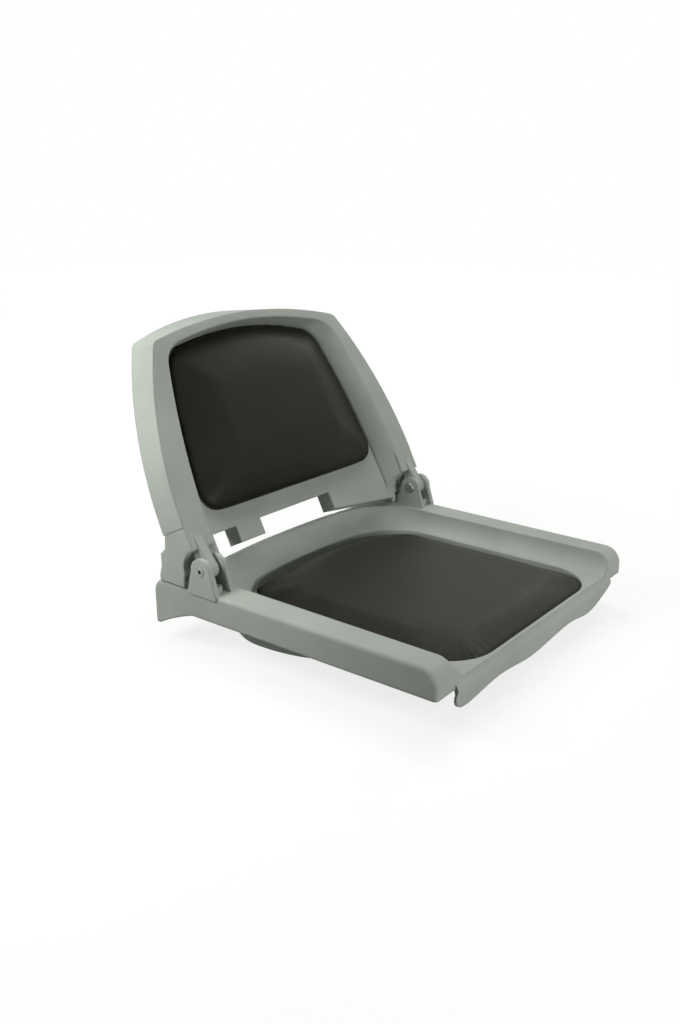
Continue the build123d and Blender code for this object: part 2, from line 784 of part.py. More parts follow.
with BuildPart() as hip:
    extrude(Pos(apron_half, 0, 0) * hip_profile(False), amount=back_side_half - apron_half, dir=across)
    extrude(
        Pos(apron_half, 0, 0) * hip_profile(True),
        amount=back_side_half - apron_half - wall,
        dir=across,
        mode=Mode.SUBTRACT,
    )
    # Foot that rests on the arm
    with BuildSketch(Plane.XY.offset(pin_z + deck)) as sole:
        with BuildLine():
            Polyline(
                (foot_half_in, pin_y + foot_front),
                (back_side_half, pin_y + foot_front),
                (back_side_half, pin_y + foot_rear),
                (foot_half_in, pin_y + foot_rear),
                close=True,
            )
        make_face()
        fillet(sole.vertices().group_by(Axis.Y)[-1], foot)
    extrude(amount=foot)
    # Fin behind the hip
    with BuildSketch(pin_plane.offset(fin_half_in)) as blade:
        with BuildLine():
            Polyline(
                (hip_back_y - foot, deck + foot / 2),
                (foot_rear, deck + foot / 2),
                (fin_back_y, deck + 2 * foot),
                (fin_back_y, fin_rise - fin_round),
                (fin_back_y - fin_round, fin_rise),
                (hip_back_y - foot, hip_back_rise),
                close=True,
            )
        make_face()
    extrude(amount=fin)
    # Lug that turns on the pin
    with BuildSketch(side_plane.offset(lug_in)) as eye:
        Circle(lug_r)
        with BuildLine():
            Polyline(
                (-lug_r * lug_chin_share, 0),
                (-rim_face, lug_reach),
                (lug_r - rim_face, lug_reach),
                (lug_r * lug_chin_share, 0),
                close=True,
            )
        make_face()
        Circle(bush_r, mode=Mode.SUBTRACT)
    extrude(amount=lug_out - lug_in)

with BuildPart() as back_screw_pads:
    with BuildSketch(front_plane.offset(-back_deep)):
        for x in (-back_screw_x, back_screw_x):
            for v in (back_screw_low, back_screw_high):
                with Locations((x, v)):
                    Circle(pad_boss_r)
    extrude(amount=back_deep)
    add(before_floor(wall / 2, -back_deep), mode=Mode.INTERSECT)
    add(before_floor(-skin, -back_deep), mode=Mode.SUBTRACT)

with BuildPart() as back_shell:
    add(envelope(0, apron_top))
    extrude(apron_face(-rim_face, 0), amount=back_deep, dir=rearward)
    add(rear_limit, mode=Mode.INTERSECT)
    add(apron_beam.part)
    add(dish_space, mode=Mode.SUBTRACT)
    add(back_cavity.part, mode=Mode.SUBTRACT)
    add(apron_cavity.part, mode=Mode.SUBTRACT)
    add(ear_room(0), mode=Mode.SUBTRACT)
    add(back_ribs.part)
    both_sides(hip.part)
    # Flat seats for the cushion screws, raised pads ahead of them and the holes through both
    for x in (-back_screw_x, back_screw_x):
        for v in (back_screw_low, back_screw_high):
            with BuildSketch(front_plane.offset(-back_boss_end)):
                with Locations((x, v)):
                    Circle(back_boss_r)
            extrude(amount=back_boss_end - floor_at(x) - wall / 2)
    add(back_screw_pads.part)
    for x in (-back_screw_x, back_screw_x):
        for v in (back_screw_low, back_screw_high):
            with BuildSketch(front_plane.offset(-back_deep)):
                with Locations((x, v)):
                    Circle(screw_hole_r)
            extrude(amount=back_deep, mode=Mode.SUBTRACT)
write(back_shell, "back_shell")


# Fastener places: x, y and the height of the board's far face, on the plane square to the screws
seat_plane = Plane.XY
seat_places = [(x, y) for x in (-seat_screw_x, seat_screw_x) for y in (-seat_screw_front, seat_screw_rear)]
back_places = [(x, v) for x in (-back_screw_x, back_screw_x) for v in (back_screw_low, back_screw_high)]
seat_nut = pocket_floor + skin + board
back_nut = -floor_at(back_screw_x) + skin + back_board - nut_flange
seat_seat = pocket_floor - wall
back_seat = -back_boss_end


def discs(plane, places, level, radius, height):
    """Upright discs at the given places, from level up."""
    with BuildPart(mode=Mode.PRIVATE) as group:
        with BuildSketch(plane.offset(level)):
            with Locations(*places):
                Circle(radius)
        extrude(amount=height)
    return group.part


def tee_nuts(plane, places, level):
    """Tee nuts whose flanges lie on the board, barrels down in it."""
    with BuildPart(mode=Mode.PRIVATE) as group:
        add(discs(plane, places, level, nut_flange_r, nut_flange))
        add(discs(plane, places, level - nut_barrel, nut_barrel_r, nut_barrel))
        add(discs(plane, places, level - nut_barrel, screw_r, nut_barrel + nut_flange), mode=Mode.SUBTRACT)
    return group.part


def washers(plane, places, seat):
    """Washers under the shell, against level seat."""
    with BuildPart(mode=Mode.PRIVATE) as group:
        add(discs(plane, places, seat - washer, washer_r, washer))
        add(discs(plane, places, seat - washer, screw_r, washer), mode=Mode.SUBTRACT)
    return group.part


def screws(plane, places, seat, nut):
    """Pan-head screws with a cross recess, from the washers through to the tee nuts."""
    under = seat - washer
    with BuildPart(mode=Mode.PRIVATE) as group:
        add(discs(plane, places, under - screw_head, screw_head_r, screw_head))
        away = Axis(plane.origin, plane.z_dir)
        fillet(group.edges().group_by(away)[0], screw_head_round)
        add(discs(plane, places, under, screw_r, nut + nut_flange + screw_tip - under))
        with BuildSketch(plane.offset(under - screw_head)):
            with Locations(*places):
                Rectangle(2 * screw_r, screw_slot)
                Rectangle(screw_slot, 2 * screw_r)
        extrude(amount=screw_head / 2, mode=Mode.SUBTRACT)
    return group.part


# Seat cushion

def seat_pad(grow):
    """The whole seat pad, grown outwards by grow: drawn-in lower edge, crowned top."""
    low = pocket_floor - grow
    tall = seat_pad_height + 2 * grow
    with BuildPart(mode=Mode.PRIVATE) as pad:
        for share, inset in zip(seat_pad_rise_shares, seat_pad_insets):
            add(seat_pad_face(low + tall * share, inset - grow))
        loft(ruled=True)
    return pad.part


def seat_pad_face(level, inset):
    """Plan outline of the seat pad at a height."""
    return pan_outline(
        level,
        pocket_half - pad_gap - inset,
        pocket_front - pad_gap - inset,
        pocket_rear - pad_gap - inset,
        pocket_bow,
        pocket_rear_round,
        pocket_front_round,
    )


seat_bar_y = -pocket_front + pad_gap + seat_pad_insets[0] + staple_inset
seat_bar_back = pocket_rear - pad_gap - seat_pad_insets[0] - staple_inset
seat_bar_x = pocket_half - pad_gap - seat_pad_insets[0] - staple_inset
side_steps = [staple_side_pitch * (i - (staple_side_count - 1) / 2) for i in range(staple_side_count)]
end_steps = [staple_end_pitch * (i - (staple_end_count - 1) / 2) for i in range(staple_end_count)]
seat_mid_y = (seat_bar_y + seat_bar_back) / 2


def staples(places):
    """Staples at the given locations: a flat crown and two legs towards the board."""
    with BuildPart(mode=Mode.PRIVATE) as group:
        with Locations(*places):
            with Locations((0, 0, staple_sink)):
                Box(staple_crown, staple_wire, staple_flat, align=(Align.CENTER, Align.CENTER, Align.MIN))
                with GridLocations(staple_crown - staple_wire, 0, 2, 1):
                    Box(staple_wire, staple_wire, staple_leg, align=(Align.CENTER, Align.CENTER, Align.MIN))
    return group.part


seat_staple_places = []
for step in side_steps:
    for x in (-seat_bar_x, seat_bar_x):
        seat_staple_places.append(Location((x, seat_mid_y + step, pocket_floor), (0, 0, 90)))
for step in end_steps:
    for y in (seat_bar_y, seat_bar_back):
        seat_staple_places.append(Location((step, y, pocket_floor)))

seat_nut_shapes = tee_nuts(seat_plane, seat_places, seat_nut)
seat_nut_room = discs(seat_plane, seat_places, seat_nut, nut_flange_r, nut_flange)
seat_tip_room = discs(seat_plane, seat_places, seat_nut, screw_r, nut_flange + screw_tip)
seat_screw_room = discs(seat_plane, seat_places, pocket_floor, screw_hole_r, skin + board)
seat_barrel_room = discs(seat_plane, seat_places, seat_nut - nut_barrel, nut_barrel_r, nut_barrel)

with BuildPart() as seat_cover_staples:
    add(staples(seat_staple_places))
write(seat_cover_staples, "seat_cover_staples")

with BuildPart() as seat_cushion_board:
    extrude(seat_pad_face(pocket_floor + skin, pad_board_inset), amount=board, dir=(0, 0, 1))
    add(seat_screw_room, mode=Mode.SUBTRACT)
    add(seat_barrel_room, mode=Mode.SUBTRACT)
    add(seat_cover_staples.part, mode=Mode.SUBTRACT)
write(seat_cushion_board, "seat_cushion_board")

with BuildPart() as seat_cushion_foam:
    add(seat_pad(-skin))
    extrude(
        seat_pad_face(pocket_floor + skin, pad_board_inset),
        amount=board,
        dir=(0, 0, 1),
        mode=Mode.SUBTRACT,
    )
    add(seat_nut_room, mode=Mode.SUBTRACT)
    add(seat_tip_room, mode=Mode.SUBTRACT)
write(seat_cushion_foam, "seat_cushion_foam")

with BuildPart() as seat_cushion_cover:
    add(seat_pad(0))
    add(seat_pad(-skin), mode=Mode.SUBTRACT)
    window = seat_pad_face(pocket_floor, seat_pad_insets[0] + hem)
    extrude(window, amount=skin, dir=(0, 0, 1), mode=Mode.SUBTRACT)
    add(seat_cover_staples.part, mode=Mode.SUBTRACT)
write(seat_cushion_cover, "seat_cushion_cover")

with BuildPart() as seat_cushion_tee_nuts:
    add(seat_nut_shapes)
write(seat_cushion_tee_nuts, "seat_cushion_tee_nuts")

with BuildPart() as seat_cushion_screws:
    add(screws(seat_plane, seat_places, seat_seat, seat_nut))
write(seat_cushion_screws, "seat_cushion_screws")

with BuildPart() as seat_cushion_washers:
    add(washers(seat_plane, seat_places, seat_seat))
write(seat_cushion_washers, "seat_cushion_washers")


# Back cushion

def back_pad_face(w, inset):
    """Front outline of the back pad at depth w."""
    edge = back_pad_gap + inset
    return shield(
        dish_in_half - edge,
        dish_in_mid_half - edge,
        dish_in_corner_half - edge,
        dish_in_corner - edge,
        dish_in_top - edge,
        w,
        dish_round - back_pad_gap,
        back_pad_low + inset,
        back_pad_low_round,
    )


def back_pad(grow):
    """The whole back pad, grown outwards by grow: drawn-in edge, crowned front, curved rear."""
    deep = back_pad_edge - back_pad_crown + grow
    with BuildPart(mode=Mode.PRIVATE) as pad:
        for share, inset in zip(back_pad_rise_shares, back_pad_insets):
            add(back_pad_face(back_pad_edge - deep * share, inset - grow))
        loft(ruled=True)
        extrude(back_pad_face(back_pad_edge, -grow), amount=back_deep, dir=rearward)
        add(before_floor(grow, -back_deep), mode=Mode.INTERSECT)
    return pad.part


def back_staple(x, v, turn):
    """Place of a staple against the panel, its crown turned in the panel's surface."""
    spot = front_plane.location * Location((x, v, -floor_at(x)))
    lean = Location((0, 0, 0), (0, -floor_slope(x), 0))
    return spot * lean * Location((0, 0, 0), (0, 0, turn))


def back_bar_x(v):
    """Half width of the side rows of staples at v."""
    return back_bar_low_half - back_bar_fall_share * (v - back_pad_low)


back_bar_low = back_pad_low + staple_inset
back_bar_top = back_bar_low + staple_rise
back_staple_places = []
for step in side_steps:
    v = back_mid_v + step
    for x in (-1, 1):
        back_staple_places.append(back_staple(x * back_bar_x(v), v, 90))
for step in end_steps:
    back_staple_places.append(back_staple(step, back_bar_low, 0))
    back_staple_places.append(back_staple(step, back_bar_top - step * step / bow_run, 0))

back_nut_shapes = tee_nuts(front_plane, back_places, back_nut)
back_screw_reach = back_deep - floor_at(back_screw_x) + wall
back_screw_room = discs(front_plane, back_places, -back_deep, screw_hole_r, back_screw_reach)

with BuildPart() as back_cover_staples:
    add(staples(back_staple_places))
write(back_cover_staples, "back_cover_staples")

with BuildPart() as back_cushion_tee_nuts:
    add(back_nut_shapes)
write(back_cushion_tee_nuts, "back_cushion_tee_nuts")

with BuildPart() as back_cushion_screws:
    add(screws(front_plane, back_places, back_seat, back_nut))
write(back_cushion_screws, "back_cushion_screws")

with BuildPart() as back_cushion_washers:
    add(washers(front_plane, back_places, back_seat))
write(back_cushion_washers, "back_cushion_washers")

# Room in the board and the foam for the tee nuts and screw tips
with BuildPart() as back_nut_room:
    add(discs(front_plane, back_places, back_nut, nut_flange_r, nut_flange + foot))
with BuildPart() as back_core_room:
    add(discs(front_plane, back_places, back_nut - nut_barrel, nut_barrel_r, nut_barrel))
    add(back_screw_room)
with BuildPart() as back_tip_room:
    add(discs(front_plane, back_places, back_nut, screw_r, nut_flange + screw_tip))

with BuildPart() as back_cushion_board:
    extrude(back_pad_face(back_pad_crown, pad_board_inset), amount=back_deep, dir=rearward)
    add(before_floor(-skin, -back_deep), mode=Mode.INTERSECT)
    add(before_floor(-skin - back_board, -back_deep), mode=Mode.SUBTRACT)
    add(back_nut_room.part, mode=Mode.SUBTRACT)
    add(back_core_room.part, mode=Mode.SUBTRACT)
    add(back_cover_staples.part, mode=Mode.SUBTRACT)
write(back_cushion_board, "back_cushion_board")

with BuildPart() as back_board_room:
    extrude(back_pad_face(back_pad_crown, pad_board_inset), amount=back_deep, dir=rearward)
    add(before_floor(-skin - back_board, -back_deep), mode=Mode.SUBTRACT)

with BuildPart() as back_cushion_foam:
    add(back_pad(-skin))
    add(back_board_room.part, mode=Mode.SUBTRACT)
    add(discs(front_plane, back_places, back_nut, nut_flange_r, nut_flange), mode=Mode.SUBTRACT)
    add(back_tip_room.part, mode=Mode.SUBTRACT)
write(back_cushion_foam, "back_cushion_foam")

with BuildPart() as back_window:
    extrude(back_pad_face(back_pad_crown, hem), amount=back_deep, dir=rearward)
    add(before_floor(-skin, -back_deep), mode=Mode.SUBTRACT)

with BuildPart() as back_cushion_cover:
    add(back_pad(0))
    add(back_pad(-skin), mode=Mode.SUBTRACT)
    add(back_window.part, mode=Mode.SUBTRACT)
    add(back_cover_staples.part, mode=Mode.SUBTRACT)
write(back_cushion_cover, "back_cushion_cover")


# Hinge pins, bushes and mounting inserts

def hinge_pin(side):
    """Hollow pin through both ears: domed head inside, rolled rim outside, along +X for side 1."""
    head_start = ear_inner_half - pin_head
    with BuildPart(mode=Mode.PRIVATE) as pin:
        with BuildSketch(side_plane.offset(ear_inner_half)):
            Circle(pin_r)
        extrude(amount=ear_half - ear_inner_half)
        with BuildSketch(side_plane.offset(ear_half)):
            Circle(pin_rim_r)
        extrude(amount=pin_rim)
        fillet(pin.edges().group_by(Axis.X)[-1], pin_rim / 2)
        with BuildSketch(side_plane.offset(head_start)):
            Circle(pin_head_r)
        extrude(amount=pin_head)
        fillet(pin.edges().group_by(Axis.X)[0], pin_head * head_round_share)
        with BuildSketch(side_plane.offset(ear_inner_half)):
            Circle(pin_hole_r)
        extrude(amount=ear_half + pin_rim - ear_inner_half, mode=Mode.SUBTRACT)
        fillet(pin.edges().group_by(Axis.X)[-1], pin_rim / 4)
    return pin.part if side > 0 else pin.part.mirror(Plane.YZ)


def hinge_bush(side):
    """Bush pressed into the lug, running on the pin."""
    with BuildPart(mode=Mode.PRIVATE) as bush:
        with BuildSketch(side_plane.offset(lug_in)):
            Circle(bush_r)
            Circle(pin_r + run_gap, mode=Mode.SUBTRACT)
        extrude(amount=lug_out - lug_in)
    return bush.part if side > 0 else bush.part.mirror(Plane.YZ)


with BuildPart() as hinge_pin_left:
    add(hinge_pin(1))
write(hinge_pin_left, "hinge_pin_left")

with BuildPart() as hinge_pin_right:
    add(hinge_pin(-1))
write(hinge_pin_right, "hinge_pin_right")

with BuildPart() as hinge_bush_left:
    add(hinge_bush(1))
write(hinge_bush_left, "hinge_bush_left")

with BuildPart() as hinge_bush_right:
    add(hinge_bush(-1))
write(hinge_bush_right, "hinge_bush_right")

with BuildPart() as mount_inserts:
    with BuildSketch():
        with GridLocations(mount_pitch, mount_pitch, 2, 2):
            Circle(insert_flange_r)
    extrude(amount=insert_flange)
    with BuildSketch():
        with GridLocations(mount_pitch, mount_pitch, 2, 2):
            Circle(insert_r)
    extrude(amount=insert_length)
    with BuildSketch():
        with GridLocations(mount_pitch, mount_pitch, 2, 2):
            Circle(insert_bore_r)
    extrude(amount=insert_length, mode=Mode.SUBTRACT)
write(mount_inserts, "mount_inserts")
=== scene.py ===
import math

import bpy
import numpy as np
from mathutils import Matrix, Vector


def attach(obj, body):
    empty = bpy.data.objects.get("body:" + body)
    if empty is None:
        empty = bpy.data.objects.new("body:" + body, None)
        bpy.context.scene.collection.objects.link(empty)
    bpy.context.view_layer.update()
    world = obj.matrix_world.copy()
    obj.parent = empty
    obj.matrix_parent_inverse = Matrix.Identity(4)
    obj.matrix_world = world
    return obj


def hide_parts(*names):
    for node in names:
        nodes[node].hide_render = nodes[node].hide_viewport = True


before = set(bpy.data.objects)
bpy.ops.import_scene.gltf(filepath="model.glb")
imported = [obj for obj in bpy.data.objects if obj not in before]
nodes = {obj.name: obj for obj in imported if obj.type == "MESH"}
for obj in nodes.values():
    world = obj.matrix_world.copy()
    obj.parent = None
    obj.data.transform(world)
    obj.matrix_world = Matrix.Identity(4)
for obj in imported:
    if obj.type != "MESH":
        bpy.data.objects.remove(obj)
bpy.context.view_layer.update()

# Places shared with the part, in metres: the hinge's axis and the backrest's own directions
pin = np.array([0.0, 0.129, 0.122])
lean = math.radians(27.0)
acrossWay = np.array([1.0, 0.0, 0.0])
upBack = np.array([0.0, math.sin(lean), math.cos(lean)])
rearward = np.array([0.0, math.cos(lean), -math.sin(lean)])


def srgb(code):
    # sRGB hex text to linear red, green, blue and alpha
    parts = [int(code[i:i + 2], 16) / 255 for i in (1, 3, 5)]
    linear = [c / 12.92 if c <= 0.04045 else ((c + 0.055) / 1.055) ** 2.4 for c in parts]
    return (*linear, 1.0)


# Camera: the photograph's place, looking down at the seat from its front right side
camera = {
    "place": (-1.0672, -0.7471, 0.5981),
    "forward": (0.74300, 0.58989, -0.31630),
    "lens": 22.774,
    "sensor": 24.0,
    "near": 0.01,
    "far": 50.0,
}


def makeCamera(values):
    data = bpy.data.cameras.new("photoCamera")
    data.sensor_fit = "VERTICAL"
    data.sensor_height = values["sensor"]
    data.lens = values["lens"]
    data.clip_start = values["near"]
    data.clip_end = values["far"]
    item = bpy.data.objects.new("photoCamera", data)
    bpy.context.scene.collection.objects.link(item)
    turn = Vector(values["forward"]).to_track_quat("-Z", "Y")
    item.matrix_world = Matrix.Translation(values["place"]) @ turn.to_matrix().to_4x4()
    bpy.context.scene.camera = item


makeCamera(camera)
print("stage: camera")


def addNode(tree, kind, settings=None, values=None, links=None):
    # one node with its settings, the values of its sockets and the links into them
    item = tree.nodes.new(kind)
    for key, value in (settings or {}).items():
        setattr(item, key, value)
    for key, value in (values or {}).items():
        item.inputs[key].default_value = value
    for key, source in (links or {}).items():
        tree.links.new(source, item.inputs[key])
    return item


def newMaterial(name):
    item = bpy.data.materials.new(name)
    item.use_nodes = True
    item.node_tree.nodes.clear()
    return item, item.node_tree


def rampColours(item, stops):
    # a ramp's two stops, each a place and a hex colour
    for element, (place, colour) in zip(item.color_ramp.elements, stops):
        element.position = place
        element.color = srgb(colour)


# Materials: sizes of patterns in metres

mouldedShell = {
    "tones": [(0.35, "#A9B0A7"), (0.65, "#B3BAB1")],
    "patch": 0.111,       # width of the faint patches of tone
    "roughness": 0.55,
    "ior": 1.51,
    "gloss": 0.08,
    "grain": 0.0009,      # pebble of the mould's surface, coarser than the real 0.3 mm so that it shows
    "grainDepth": 0.00004,
    "grainStrength": 0.35,
    "edge": 0.0045,       # radius that the moulded edges seem to have
}


def mouldedPolyethylene(values):
    # injection-moulded polyethylene: waxy satin, pale grey with a green cast, soft edges, a very fine pebble
    item, tree = newMaterial("mouldedPolyethylene")
    spot = addNode(tree, "ShaderNodeTexCoord").outputs["Object"]
    patches = addNode(
        tree, "ShaderNodeTexNoise",
        values={"Scale": 1 / values["patch"], "Detail": 3.0},
        links={"Vector": spot},
    )
    tint = addNode(tree, "ShaderNodeValToRGB", links={"Fac": patches.outputs["Fac"]})
    rampColours(tint, values["tones"])
    pebble = addNode(
        tree, "ShaderNodeTexNoise",
        values={"Scale": 1 / values["grain"], "Detail": 2.0},
        links={"Vector": spot},
    )
    rounded = addNode(tree, "ShaderNodeBevel", {"samples": 6}, {"Radius": values["edge"]})
    bump = addNode(
        tree, "ShaderNodeBump",
        values={"Strength": values["grainStrength"], "Distance": values["grainDepth"]},
        links={"Height": pebble.outputs["Fac"], "Normal": rounded.outputs["Normal"]},
    )
    shade = addNode(
        tree, "ShaderNodeBsdfPrincipled",
        values={
            "Roughness": values["roughness"],
            "IOR": values["ior"],
            "Specular IOR Level": values["gloss"],
        },
        links={"Base Color": tint.outputs["Color"], "Normal": bump.outputs["Normal"]},
    )
    addNode(tree, "ShaderNodeOutputMaterial", links={"Surface": shade.outputs["BSDF"]})
    return item


coatedVinyl = {
    "tones": [(0.3, "#1A1A17"), (0.7, "#201F1C")],
    "patch": 0.0714,
    "sheen": "#FDFFE9",   # tint of the highlights
    "roughness": 0.46,
    "ior": 1.5,
    "gloss": 0.12,
    "grain": 0.0016,      # width of a grain cell
    "crease": 0.22,       # share of a cell that falls away to its crease
    "fibre": 0.00417,     # swell of the fabric under the skin
    "grainDepth": 0.00010,
    "grainStrength": 0.5,
}


def charcoalVinyl(values):
    # expanded vinyl upholstery: charcoal, soft sheen, leather-like grain cells pressed in
    item, tree = newMaterial("charcoalVinyl")
    spot = addNode(tree, "ShaderNodeTexCoord").outputs["Object"]
    fibre = addNode(
        tree, "ShaderNodeTexNoise",
        values={"Scale": 1 / values["fibre"], "Detail": 2.0},
        links={"Vector": spot},
    )
    cells = addNode(
        tree, "ShaderNodeTexVoronoi", {"feature": "DISTANCE_TO_EDGE"},
        {"Scale": 1 / values["grain"]},
        {"Vector": spot},
    )
    crease = addNode(
        tree, "ShaderNodeMapRange",
        values={"From Min": 0.0, "From Max": values["crease"]},
        links={"Value": cells.outputs["Distance"]},
    )
    height = addNode(
        tree, "ShaderNodeMath", {"operation": "MULTIPLY_ADD"},
        {1: 1.0},
        {0: crease.outputs["Result"], 2: fibre.outputs["Fac"]},
    )
    patches = addNode(
        tree, "ShaderNodeTexNoise",
        values={"Scale": 1 / values["patch"], "Detail": 3.0},
        links={"Vector": spot},
    )
    tint = addNode(tree, "ShaderNodeValToRGB", links={"Fac": patches.outputs["Fac"]})
    rampColours(tint, values["tones"])
    bump = addNode(
        tree, "ShaderNodeBump",
        values={"Strength": values["grainStrength"], "Distance": values["grainDepth"]},
        links={"Height": height.outputs["Value"]},
    )
    shade = addNode(
        tree, "ShaderNodeBsdfPrincipled",
        values={
            "Roughness": values["roughness"],
            "IOR": values["ior"],
            "Specular IOR Level": values["gloss"],
            "Specular Tint": srgb(values["sheen"]),
        },
        links={"Base Color": tint.outputs["Color"], "Normal": bump.outputs["Normal"]},
    )
    addNode(tree, "ShaderNodeOutputMaterial", links={"Surface": shade.outputs["BSDF"]})
    return item


metals = {
    "zincPlatedSteel": {"colour": "#A9ABAA", "roughness": 0.34, "marks": 0.00111},
    "stainlessSteel": {"colour": "#B8B8B5", "roughness": 0.28, "marks": 0.00071},
    "brightAluminium": {"colour": "#8E918D", "roughness": 0.42, "marks": 0.00083},
    "turnedBrass": {"colour": "#B99B5A", "roughness": 0.30, "marks": 0.00067},
}
toolMarks = {"smoother": 0.08, "rougher": 0.12, "strength": 0.2, "depth": 0.00003}


def finishedMetal(name, values):
    # small metal fittings: fine tool marks vary the gloss across the surface
    item, tree = newMaterial(name)
    spot = addNode(tree, "ShaderNodeTexCoord").outputs["Object"]
    marks = addNode(
        tree, "ShaderNodeTexNoise",
        values={"Scale": 1 / values["marks"], "Detail": 2.0},
        links={"Vector": spot},
    )
    smooth, rough = values["roughness"] - toolMarks["smoother"], values["roughness"] + toolMarks["rougher"]
    gloss = addNode(
        tree, "ShaderNodeMapRange",
        values={"To Min": smooth, "To Max": rough},
        links={"Value": marks.outputs["Fac"]},
    )
    bump = addNode(
        tree, "ShaderNodeBump",
        values={"Strength": toolMarks["strength"], "Distance": toolMarks["depth"]},
        links={"Height": marks.outputs["Fac"]},
    )
    shade = addNode(
        tree, "ShaderNodeBsdfPrincipled",
        values={"Metallic": 1.0, "Base Color": srgb(values["colour"])},
        links={"Roughness": gloss.outputs["Result"], "Normal": bump.outputs["Normal"]},
    )
    addNode(tree, "ShaderNodeOutputMaterial", links={"Surface": shade.outputs["BSDF"]})
    return item


padBoard = {
    "tones": [(0.35, "#B08C5E"), (0.7, "#D3B98C")],
    "grain": (0.167, 0.0167, 0.0167),     # length of the grain, and its width both ways
    "roughness": 0.7,
}


def birchPlywood(values):
    # rotary-cut plywood: long pale grain with darker bands
    item, tree = newMaterial("birchPlywood")
    spot = addNode(tree, "ShaderNodeTexCoord").outputs["Object"]
    stretched = addNode(
        tree, "ShaderNodeMapping",
        values={"Scale": [1 / size for size in values["grain"]]},
        links={"Vector": spot},
    )
    grain = addNode(
        tree, "ShaderNodeTexNoise",
        values={"Scale": 1.0, "Detail": 5.0},
        links={"Vector": stretched.outputs["Vector"]},
    )
    tint = addNode(tree, "ShaderNodeValToRGB", links={"Fac": grain.outputs["Fac"]})
    rampColours(tint, values["tones"])
    shade = addNode(
        tree, "ShaderNodeBsdfPrincipled",
        values={"Roughness": values["roughness"]},
        links={"Base Color": tint.outputs["Color"]},
    )
    addNode(tree, "ShaderNodeOutputMaterial", links={"Surface": shade.outputs["BSDF"]})
    return item


hingeBush = {
    "tones": [(0.3, "#D8D6CC"), (0.7, "#E2E0D8")],
    "patch": 0.00333,
    "roughness": 0.4,
    "milk": 0.2,          # share of the light that goes into the nylon
    "milkDepth": 0.002,
}


def naturalNylon(values):
    # machined nylon bush: milky off-white with a soft gloss
    item, tree = newMaterial("naturalNylon")
    spot = addNode(tree, "ShaderNodeTexCoord").outputs["Object"]
    patches = addNode(
        tree, "ShaderNodeTexNoise",
        values={"Scale": 1 / values["patch"], "Detail": 2.0},
        links={"Vector": spot},
    )
    tint = addNode(tree, "ShaderNodeValToRGB", links={"Fac": patches.outputs["Fac"]})
    rampColours(tint, values["tones"])
    shade = addNode(
        tree, "ShaderNodeBsdfPrincipled",
        values={
            "Roughness": values["roughness"],
            "Subsurface Weight": values["milk"],
            "Subsurface Scale": values["milkDepth"],
        },
        links={"Base Color": tint.outputs["Color"]},
    )
    addNode(tree, "ShaderNodeOutputMaterial", links={"Surface": shade.outputs["BSDF"]})
    return item


shellPlastic = mouldedPolyethylene(mouldedShell)
vinyl = charcoalVinyl(coatedVinyl)
metal = {name: finishedMetal(name, values) for name, values in metals.items()}
plywood = birchPlywood(padBoard)
nylon = naturalNylon(hingeBush)

finishOf = {
    "seat_shell": shellPlastic,
    "back_shell": shellPlastic,
    "seat_cushion_cover": vinyl,
    "back_cushion_cover": vinyl,
    "seat_cushion_foam": vinyl,
    "back_cushion_foam": vinyl,
    "seat_cushion_board": plywood,
    "back_cushion_board": plywood,
    "seat_cover_staples": metal["zincPlatedSteel"],
    "back_cover_staples": metal["zincPlatedSteel"],
    "seat_cushion_tee_nuts": metal["zincPlatedSteel"],
    "back_cushion_tee_nuts": metal["zincPlatedSteel"],
    "seat_cushion_screws": metal["stainlessSteel"],
    "back_cushion_screws": metal["stainlessSteel"],
    "seat_cushion_washers": metal["stainlessSteel"],
    "back_cushion_washers": metal["stainlessSteel"],
    "mount_inserts": metal["turnedBrass"],
    "hinge_pin_right": metal["brightAluminium"],
    "hinge_pin_left": metal["brightAluminium"],
    "hinge_bush_right": nylon,
    "hinge_bush_left": nylon,
}
for name, finish in finishOf.items():
    mesh = nodes[name].data
    mesh.materials.clear()
    mesh.materials.append(finish)
print("stage: materials")

# Grid of a pad's surface, the same for both pads
padGrid = {
    "around": 260,        # points in a ring
    "under": 14,          # rings on the underside
    "side": 5,
    "over": 33,           # rings over the crown
    "middle": 0.04,       # size of the innermost ring, about, as a share of the outline
    "crowding": 1.15,     # above 1 sets the crown's rings closer at the edge
    "fullness": 2.4,      # power of the crown's curve
    "arc": 13,            # points in a rounded corner
    "bow": 12,            # points in a bowed side
    "atOnce": 4000,       # points measured together, to save memory
}

# Cloth pressed out by the foam, the same for both pads
padCloth = {
    "voxel": 0.0048,
    "quality": 6,
    "mass": 0.3,
    "stretch": 18.0,
    "bending": 6.0,
    "pressure": 4.0,
    "frames": 20,
    "even": 40,           # rounds in which the cloth's moves are averaged with their neighbours'
    "ownShare": 0.4,      # a point's own share in that average
    "cap": 0.005,         # furthest move of a point
    "settle": 8,
    "settleShare": 0.5,
    "held": 0.004,        # depth of the held band at the underside
}


def meshFromGrid(name, grid):
    # a grid of rings (rows x around x 3) to a closed mesh: the first and last rings close on their mean point
    rows, around, _ = grid.shape
    index = np.arange(rows * around).reshape(rows, around)
    nextIndex = np.roll(index, -1, axis=1)
    quads = np.stack([index[:-1], nextIndex[:-1], nextIndex[1:], index[1:]], axis=-1).reshape(-1, 4)
    first, last = rows * around, rows * around + 1
    points = np.vstack([grid.reshape(-1, 3), grid[0].mean(0), grid[-1].mean(0)])
    faces = quads.tolist()
    faces += np.stack([np.full(around, first), nextIndex[0], index[0]], axis=-1).tolist()
    faces += np.stack([np.full(around, last), index[-1], nextIndex[-1]], axis=-1).tolist()
    data = bpy.data.meshes.new(name)
    data.from_pydata(points.tolist(), [], faces)
    data.update()
    item = bpy.data.objects.new(name, data)
    bpy.context.scene.collection.objects.link(item)
    return item


